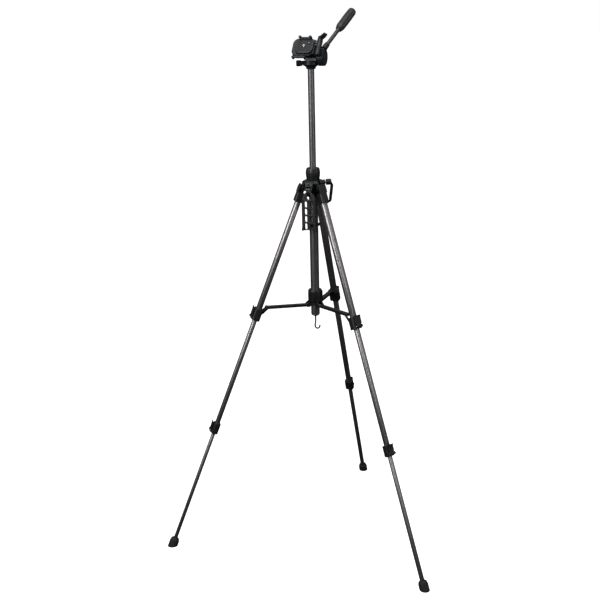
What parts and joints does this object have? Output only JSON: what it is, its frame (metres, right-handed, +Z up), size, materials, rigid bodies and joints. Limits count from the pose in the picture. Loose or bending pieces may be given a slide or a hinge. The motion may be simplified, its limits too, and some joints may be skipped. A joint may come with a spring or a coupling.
{
  "type": "camera tripod",
  "caption": "Camera tripod with telescoping flip-lock legs, a sliding spreader, a geared centre column and a pan and tilt head with a quick release plate.",
  "frame": {"origin": "on the floor, under the middle of the bounding box of the opened tripod", "axes": "+Z up along the centre column; leg 1 points to +Y, the lens side of the head to -Y"},
  "size_m": [0.8372, 0.7288, 1.6013],
  "materials": {
    "black_plastic": "fine moulded grain",
    "head_plastic": "satin moulded plastic, slightly blue",
    "leg_aluminium": "gunmetal anodised, satin, drawn lengthwise",
    "column_aluminium": "gunmetal anodised, satin",
    "steel": "zinc plated",
    "black_steel": "blackened steel",
    "foot_rubber": "moulded rubber",
    "grip_rubber": "fluted soft grip",
    "level_fluid": "clear lens over green fluid",
    "bushing_plastic": "slippery moulded plastic"
  },
  "bodies": {
    "shoulder": {"shoulder": "black_plastic", "guide_tube": "column_aluminium", "guide_tube_end_cap": "column_aluminium", "column_bushing": "bushing_plastic", "bubble_level": "level_fluid", "carry_bracket_screw": "black_steel", "hinge_bolt_1": "black_steel", "hinge_bolt_2": "black_steel", "hinge_bolt_3": "black_steel"},
    "spreader_hub": {"spreader_hub": "black_plastic"},
    "arm_1": {"spreader_arm_1": "black_plastic"},
    "leg_1": {"leg_hood_1": "black_plastic", "upper_tube_1": "leg_aluminium", "upper_lock_1": "black_plastic"},
    "upper_lever_1": {"upper_lever_1": "black_plastic"},
    "middle_1": {"middle_tube_1": "leg_aluminium", "lower_lock_1": "black_plastic"},
    "lower_lever_1": {"lower_lever_1": "black_plastic"},
    "lower_1": {"lower_tube_1": "leg_aluminium", "rubber_foot_1": "foot_rubber"},
    "arm_2": {"spreader_arm_2": "black_plastic"},
    "leg_2": {"leg_hood_2": "black_plastic", "upper_tube_2": "leg_aluminium", "upper_lock_2": "black_plastic"},
    "upper_lever_2": {"upper_lever_2": "black_plastic"},
    "middle_2": {"middle_tube_2": "leg_aluminium", "lower_lock_2": "black_plastic"},
    "lower_lever_2": {"lower_lever_2": "black_plastic"},
    "lower_2": {"lower_tube_2": "leg_aluminium", "rubber_foot_2": "foot_rubber"},
    "arm_3": {"spreader_arm_3": "black_plastic"},
    "leg_3": {"leg_hood_3": "black_plastic", "upper_tube_3": "leg_aluminium", "upper_lock_3": "black_plastic"},
    "upper_lever_3": {"upper_lever_3": "black_plastic"},
    "middle_3": {"middle_tube_3": "leg_aluminium", "lower_lock_3": "black_plastic"},
    "lower_lever_3": {"lower_lever_3": "black_plastic"},
    "lower_3": {"lower_tube_3": "leg_aluminium", "rubber_foot_3": "foot_rubber"},
    "centre_column": {"centre_column": "column_aluminium", "column_rack": "black_plastic", "pan_base": "head_plastic"},
    "crank": {"pinion_shaft": "steel", "crank_arm": "black_plastic"},
    "crank_grip": {"crank_grip": "black_plastic"},
    "lock_collar": {"column_lock_collar": "black_plastic"},
    "weight_hook": {"weight_hook": "black_steel"},
    "carry_handle": {"carry_handle": "black_plastic"},
    "pan": {"pan_body": "head_plastic"},
    "pan_lock_knob": {"pan_lock_knob": "head_plastic"},
    "tilt_head": {"tilt_head": "head_plastic", "tilt_axle": "steel"},
    "pan_handle": {"pan_handle_rod": "head_plastic", "pan_handle_grip": "grip_rubber"},
    "platform": {"platform": "head_plastic"},
    "plate_lever": {"plate_lever": "head_plastic"},
    "portrait_lock_lever": {"portrait_lock_lever": "head_plastic"},
    "quick_release_plate": {"quick_release_plate": "head_plastic"},
    "camera_screw": {"camera_screw": "steel"}
  },
  "joints": [
    {"name": "legs_fold", "type": "slide", "parent": "shoulder", "child": "spreader_hub", "axis": [0, 0, 1], "range_m": [0, 0.10186]},
    {"name": "arm_1_fold", "type": "hinge", "parent": "spreader_hub", "child": "arm_1", "pos_m": [0, -0.09082, 0.753], "axis": [-1, 0, 0], "range_deg": [-1, 91.44]},
    {"name": "leg_1_fold", "type": "hinge", "parent": "arm_1", "child": "leg_1", "pos_m": [0, 0.02961, 0.75312], "axis": [-1, 0, 0], "range_deg": [-72.44, 1]},
    {"name": "upper_lever_1_open", "type": "hinge", "parent": "leg_1", "child": "upper_lever_1", "pos_m": [0, 0.07861, 0.7305], "axis": [-1, 0, 0], "range_deg": [0, 100]},
    {"name": "leg_1_middle_slide", "type": "slide", "parent": "leg_1", "child": "middle_1", "axis": [0, 0.3665, -0.9304], "range_m": [-0.32, 0]},
    {"name": "lower_lever_1_open", "type": "hinge", "parent": "middle_1", "child": "lower_lever_1", "pos_m": [0, 0.21474, 0.38001], "axis": [-1, 0, 0], "range_deg": [0, 100]},
    {"name": "leg_1_lower_slide", "type": "slide", "parent": "middle_1", "child": "lower_1", "axis": [0, 0.3665, -0.9304], "range_m": [-0.34, 0]},
    {"name": "arm_2_fold", "type": "hinge", "parent": "spreader_hub", "child": "arm_2", "pos_m": [-0.02252, -0.12982, 0.753], "axis": [0.5, -0.866, 0], "range_deg": [-1, 91.44]},
    {"name": "leg_2_fold", "type": "hinge", "parent": "arm_2", "child": "leg_2", "pos_m": [-0.12682, -0.19004, 0.75312], "axis": [0.5, -0.866, 0], "range_deg": [-72.44, 1]},
    {"name": "upper_lever_2_open", "type": "hinge", "parent": "leg_2", "child": "upper_lever_2", "pos_m": [-0.16925, -0.21454, 0.7305], "axis": [0.5, -0.866, 0], "range_deg": [0, 100]},
    {"name": "leg_2_middle_slide", "type": "slide", "parent": "leg_2", "child": "middle_2", "axis": [-0.3174, -0.1833, -0.9304], "range_m": [-0.32, 0]},
    {"name": "lower_lever_2_open", "type": "hinge", "parent": "middle_2", "child": "lower_lever_2", "pos_m": [-0.28714, -0.2826, 0.38001], "axis": [0.5, -0.866, 0], "range_deg": [0, 100]},
    {"name": "leg_2_lower_slide", "type": "slide", "parent": "middle_2", "child": "lower_2", "axis": [-0.3174, -0.1833, -0.9304], "range_m": [-0.34, 0]},
    {"name": "arm_3_fold", "type": "hinge", "parent": "spreader_hub", "child": "arm_3", "pos_m": [0.02252, -0.12982, 0.753], "axis": [0.5, 0.866, 0], "range_deg": [-1, 91.44]},
    {"name": "leg_3_fold", "type": "hinge", "parent": "arm_3", "child": "leg_3", "pos_m": [0.12682, -0.19004, 0.75312], "axis": [0.5, 0.866, 0], "range_deg": [-72.44, 1]},
    {"name": "upper_lever_3_open", "type": "hinge", "parent": "leg_3", "child": "upper_lever_3", "pos_m": [0.16925, -0.21454, 0.7305], "axis": [0.5, 0.866, 0], "range_deg": [0, 100]},
    {"name": "leg_3_middle_slide", "type": "slide", "parent": "leg_3", "child": "middle_3", "axis": [0.3174, -0.1833, -0.9304], "range_m": [-0.32, 0]},
    {"name": "lower_lever_3_open", "type": "hinge", "parent": "middle_3", "child": "lower_lever_3", "pos_m": [0.28714, -0.2826, 0.38001], "axis": [0.5, 0.866, 0], "range_deg": [0, 100]},
    {"name": "leg_3_lower_slide", "type": "slide", "parent": "middle_3", "child": "lower_3", "axis": [0.3174, -0.1833, -0.9304], "range_m": [-0.34, 0]},
    {"name": "column_height", "type": "slide", "parent": "shoulder", "child": "centre_column", "axis": [0, 0, 1], "range_m": [-0.265, 0]},
    {"name": "crank_turn", "type": "hinge", "parent": "shoulder", "child": "crank", "pos_m": [-0.00827, -0.10249, 1.117], "axis": [0.866, 0.5, 0], "range_deg": [-20, 2185]},
    {"name": "crank_grip_fold", "type": "hinge", "parent": "crank", "child": "crank_grip", "pos_m": [0.03737, -0.07614, 1.062], "axis": [-0.5, 0.866, 0], "range_deg": [-150, 0]},
    {"name": "collar_lock", "type": "hinge", "parent": "shoulder", "child": "lock_collar", "pos_m": [0, -0.11682, 1.145], "axis": [0, 0, 1], "range_deg": [-30, 60]},
    {"name": "hook_swivel", "type": "hinge", "parent": "shoulder", "child": "weight_hook", "pos_m": [0, -0.11682, 0.725], "axis": [0, 0, 1], "continuous": true},
    {"name": "carry_handle_swing", "type": "hinge", "parent": "shoulder", "child": "carry_handle", "pos_m": [0, -0.15482, 1.106], "axis": [-1, 0, 0], "range_deg": [0, 90]},
    {"name": "head_pan", "type": "hinge", "parent": "centre_column", "child": "pan", "pos_m": [0, -0.11682, 1.46], "axis": [0, 0, 1], "continuous": true},
    {"name": "pan_lock", "type": "hinge", "parent": "pan", "child": "pan_lock_knob", "pos_m": [-0.02598, -0.13182, 1.4575], "axis": [-0.866, -0.5, 0], "range_deg": [-180, 180]},
    {"name": "head_tilt", "type": "hinge", "parent": "pan", "child": "tilt_head", "pos_m": [0, -0.11682, 1.474], "axis": [1, 0, 0], "range_deg": [-82.5, 17.5]},
    {"name": "handle_twist", "type": "hinge", "parent": "tilt_head", "child": "pan_handle", "pos_m": [0.04196, -0.07141, 1.5157], "axis": [0.1106, 0.8813, 0.4595], "range_deg": [-180, 180]},
    {"name": "platform_flip", "type": "hinge", "parent": "tilt_head", "child": "platform", "pos_m": [0.0325, -0.14538, 1.49592], "axis": [0, 0.6088, 0.7934], "range_deg": [0, 90]},
    {"name": "portrait_lock", "type": "hinge", "parent": "tilt_head", "child": "portrait_lock_lever", "pos_m": [0.0325, -0.12408, 1.52368], "axis": [0, 0.6088, 0.7934], "range_deg": [0, 60]},
    {"name": "plate_lever_open", "type": "hinge", "parent": "platform", "child": "plate_lever", "pos_m": [-0.035, -0.16542, 1.47637], "axis": [0, 0.7934, -0.6088], "range_deg": [0, 70]},
    {"name": "plate_lift", "type": "slide", "parent": "platform", "child": "quick_release_plate", "axis": [0, -0.7934, 0.6088], "range_m": [0, 0.02]},
    {"name": "camera_screw_turn", "type": "hinge", "parent": "quick_release_plate", "child": "camera_screw", "pos_m": [-0.0045, -0.15588, 1.50523], "axis": [0, -0.7934, 0.6088], "continuous": true}
  ],
  "couplings": [
    {"joint": "arm_1_fold", "follows": "legs_fold", "rad_per_m": 15.495},
    {"joint": "leg_1_fold", "follows": "legs_fold", "rad_per_m": -12.239},
    {"joint": "arm_2_fold", "follows": "legs_fold", "rad_per_m": 15.495},
    {"joint": "leg_2_fold", "follows": "legs_fold", "rad_per_m": -12.239},
    {"joint": "arm_3_fold", "follows": "legs_fold", "rad_per_m": 15.495},
    {"joint": "leg_3_fold", "follows": "legs_fold", "rad_per_m": -12.239},
    {"joint": "crank_turn", "follows": "column_height", "rad_per_m": -142.86}
  ]
}
